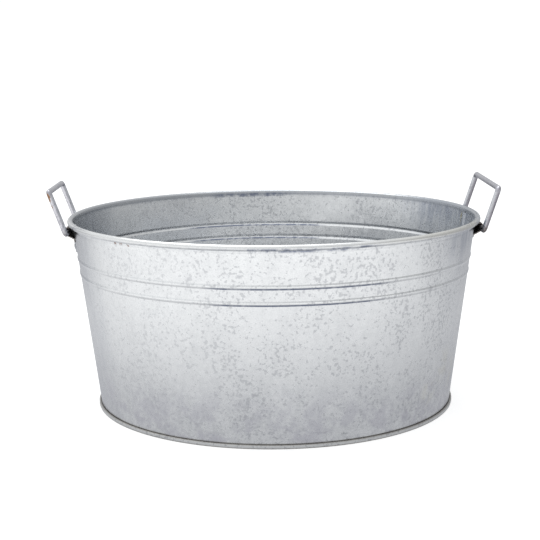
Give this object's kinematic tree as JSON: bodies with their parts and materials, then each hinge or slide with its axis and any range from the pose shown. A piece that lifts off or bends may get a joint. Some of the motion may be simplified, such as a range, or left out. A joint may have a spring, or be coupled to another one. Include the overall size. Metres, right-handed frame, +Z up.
{
  "type": "ice bucket",
  "caption": "Round galvanised steel party tub with a rolled rim, swaged ribs and drop handles, for ice and bottles.",
  "frame": {"origin": "on the floor under the tub's axis", "axes": "+X towards the right handle, -Y towards the front, +Z up"},
  "size_m": [0.4874, 0.457, 0.2471],
  "materials": {
    "wall_zinc": "hot-dip galvanised sheet, fine spangle, satin",
    "base_zinc": "hot-dip galvanised sheet, duller and scuffed",
    "wire_zinc": "galvanised wire, satin, rust at the worn corners",
    "ear_zinc": "galvanised strap, dull",
    "rivet_zinc": "galvanised rivet, dull"
  },
  "bodies": {
    "tub": {"front_wall": "wall_zinc", "rear_wall": "wall_zinc", "bottom_pan": "base_zinc", "rim_wire": "wire_zinc", "right_ear": "ear_zinc", "right_rivet_front": "rivet_zinc", "right_rivet_middle": "rivet_zinc", "right_rivet_rear": "rivet_zinc", "left_ear": "ear_zinc", "left_rivet_front": "rivet_zinc", "left_rivet_middle": "rivet_zinc", "left_rivet_rear": "rivet_zinc"},
    "right_handle": {"right_handle": "wire_zinc"},
    "left_handle": {"left_handle": "wire_zinc"}
  },
  "joints": [
    {"name": "right_handle_hinge", "type": "hinge", "parent": "tub", "child": "right_handle", "pos_m": [0.2251, 0, 0.197], "axis": [0, 0.9997, 0.0262], "range_deg": [-21, 166]},
    {"name": "left_handle_hinge", "type": "hinge", "parent": "tub", "child": "left_handle", "pos_m": [-0.2251, 0, 0.197], "axis": [0, -0.9997, 0.0262], "range_deg": [-23, 164]}
  ]
}
